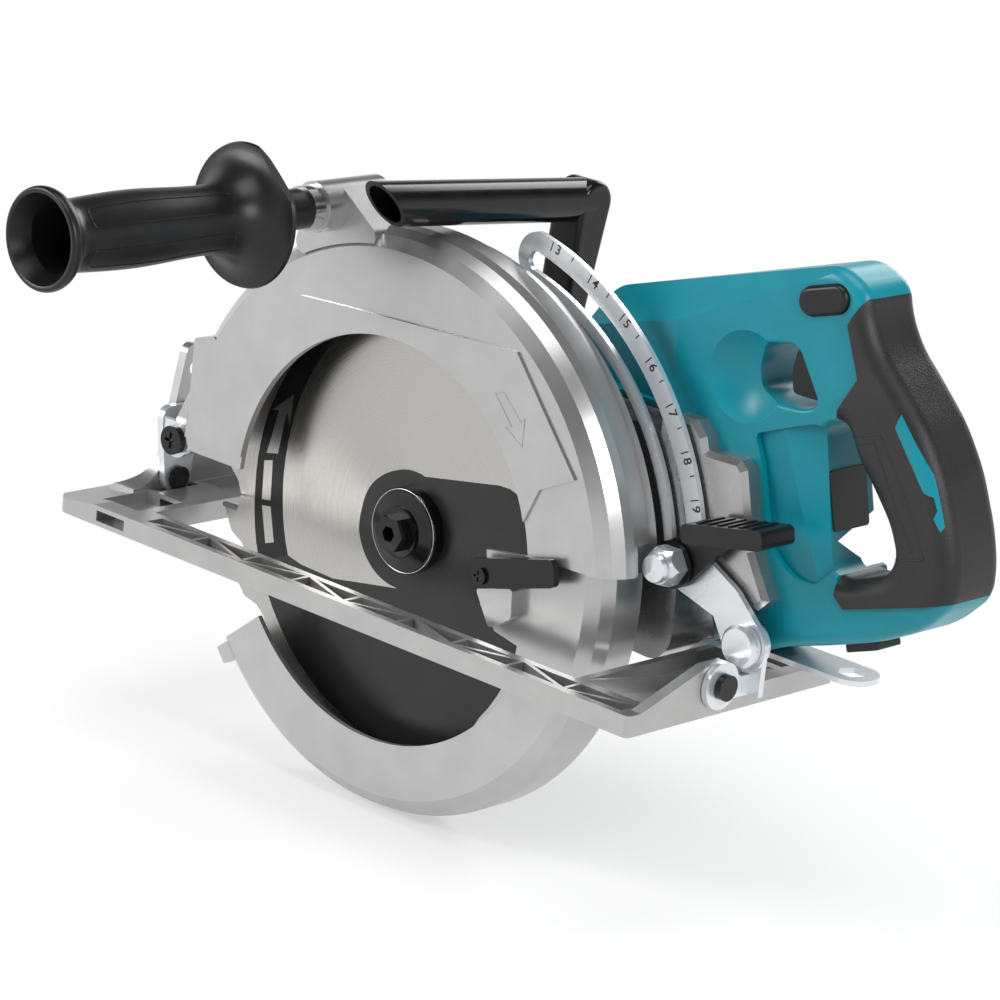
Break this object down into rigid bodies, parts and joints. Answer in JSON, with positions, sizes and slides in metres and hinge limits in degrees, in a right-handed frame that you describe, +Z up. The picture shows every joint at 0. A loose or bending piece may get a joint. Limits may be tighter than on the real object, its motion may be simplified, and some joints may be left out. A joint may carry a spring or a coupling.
{
  "type": "cordless circular saw",
  "caption": "Rear handle cordless circular saw with a toothed blade, sprung lower guard, tilting ribbed base, slotted depth guide, side handle and hanging hook.",
  "frame": {"origin": "in the sole plane of the base, straight below the blade arbor, on the mid plane of the blade", "axes": "+X to the rear, away from the cut; -Y to the open blade side; +Z up from the sole"},
  "size_m": [0.477, 0.3283, 0.3157],
  "materials": {
    "cast_grey": "satin silver paint over a magnesium casting",
    "base_grey": "matt cast magnesium",
    "gear_grey": "darker satin casting",
    "blade_steel": "circular brushed steel with dark printed panels",
    "carbide": "ground carbide",
    "zinc": "bright zinc plated sheet",
    "steel": "turned steel",
    "black_steel": "black oxide or gloss black paint",
    "teal_plastic": "fine textured moulding",
    "black_plastic": "fine textured moulding",
    "soft_grip": "grained soft cover",
    "copper": "windings and laminations",
    "board": "circuit board"
  },
  "bodies": {
    "base": {"base_plate": "base_grey", "bevel_quadrant": "base_grey", "front_bevel_pin": "black_steel", "rear_pivot_pin": "black_steel"},
    "bevel_carriage": {"front_pivot_bracket": "zinc", "depth_pivot_bolt": "black_steel", "bevel_clamp_bolt": "steel", "rear_pivot_bracket": "zinc", "guide_pivot_rivet": "zinc"},
    "bevel_lever": {"bevel_lock_lever": "black_plastic"},
    "guide": {"depth_guide": "zinc"},
    "depth_lever": {"depth_lock_lever": "black_plastic"},
    "swing_guard": {"lower_guard": "cast_grey", "guard_lever": "cast_grey", "guard_lever_cover": "black_steel", "guard_lever_screw": "black_steel"},
    "blade": {"saw_blade": "blade_steel", "carbide_tips": "carbide", "inner_flange": "steel", "outer_flange": "black_steel", "arbor_bolt": "black_steel", "spindle": "steel", "spindle_gear": "steel"},
    "rotor": {"motor_shaft": "steel", "rotor_core": "steel", "cooling_fan": "black_plastic"},
    "trigger_body": {"trigger": "black_plastic"},
    "lock_off_body": {"lock_off_button": "black_plastic"},
    "hook": {"hanging_hook": "black_steel"},
    "shaft_lock": {"shaft_lock_button": "black_plastic"},
    "saw_body": {"depth_clamp_bolt": "steel", "depth_clamp_nut": "zinc", "depth_clamp_washer": "black_steel", "upper_guard": "cast_grey", "gear_housing": "gear_grey", "motor_housing": "teal_plastic", "motor_end_cover": "black_plastic", "control_board": "board", "terminal_block": "black_plastic", "rating_plate": "black_plastic", "handle_left": "teal_plastic", "handle_right": "teal_plastic", "grip_cover": "soft_grip", "accent_inserts": "teal_plastic", "rubber_foot": "soft_grip", "tether_plate": "zinc", "side_handle": "black_plastic", "side_handle_stud": "steel", "hook_bracket": "black_steel", "hook_pin": "steel", "spindle_front_bearing": "steel", "spindle_rear_bearing": "steel", "stator": "copper", "motor_bearings": "steel", "guard_retaining_ring": "steel", "guard_return_spring": "steel", "guard_stop": "soft_grip"}
  },
  "joints": [
    {"name": "bevel_tilt", "type": "hinge", "parent": "base", "child": "bevel_carriage", "pos_m": [0, 0, 0.0145], "axis": [1, 0, 0], "range_deg": [0, 45]},
    {"name": "depth_pivot", "type": "hinge", "parent": "bevel_carriage", "child": "saw_body", "pos_m": [-0.1535, 0, 0.038], "axis": [0, -1, 0], "range_deg": [0, 26]},
    {"name": "guide_swing", "type": "hinge", "parent": "bevel_carriage", "child": "guide", "pos_m": [0.191, 0.0165, 0.03], "axis": [0, -1, 0], "range_deg": [-15.3, 0]},
    {"name": "swing_guard_turn", "type": "hinge", "parent": "saw_body", "child": "swing_guard", "pos_m": [0, 0, 0.033], "axis": [0, -1, 0], "range_deg": [0, 115], "stiffness_Nm_per_rad": 0.35, "springref_deg": -114.59},
    {"name": "blade_spin", "type": "hinge", "parent": "saw_body", "child": "blade", "pos_m": [0, 0, 0.033], "axis": [0, -1, 0], "continuous": true},
    {"name": "rotor_spin", "type": "hinge", "parent": "saw_body", "child": "rotor", "pos_m": [0.02892, 0.06, 0.06747], "axis": [0, -1, 0], "continuous": true},
    {"name": "trigger_pull", "type": "slide", "parent": "saw_body", "child": "trigger_body", "axis": [1, 0, 0], "range_m": [0, 0.006], "stiffness_N_per_m": 400, "springref_m": -0.004},
    {"name": "lock_off_push", "type": "slide", "parent": "saw_body", "child": "lock_off_body", "axis": [0, 1, 0], "range_m": [0, 0.004], "stiffness_N_per_m": 400, "springref_m": -0.004},
    {"name": "shaft_lock_push", "type": "slide", "parent": "saw_body", "child": "shaft_lock", "axis": [1, 0, 0], "range_m": [0, 0.004], "stiffness_N_per_m": 400, "springref_m": -0.004},
    {"name": "depth_lever_turn", "type": "hinge", "parent": "saw_body", "child": "depth_lever", "pos_m": [0.15, 0.012, 0.057], "axis": [0, -1, 0], "range_deg": [0, 45]},
    {"name": "bevel_lever_turn", "type": "hinge", "parent": "bevel_carriage", "child": "bevel_lever", "pos_m": [-0.176, 0.04664, 0.04365], "axis": [1, 0, 0], "range_deg": [0, 60]},
    {"name": "hook_fold", "type": "hinge", "parent": "saw_body", "child": "hook", "pos_m": [0.002, 0.084, 0.12197], "axis": [-1, 0, 0], "range_deg": [0, 60]}
  ],
  "couplings": [
    {"joint": "guide_swing", "follows": "depth_pivot", "ratio": -0.58},
    {"joint": "rotor_spin", "follows": "blade_spin", "ratio": -4}
  ]
}
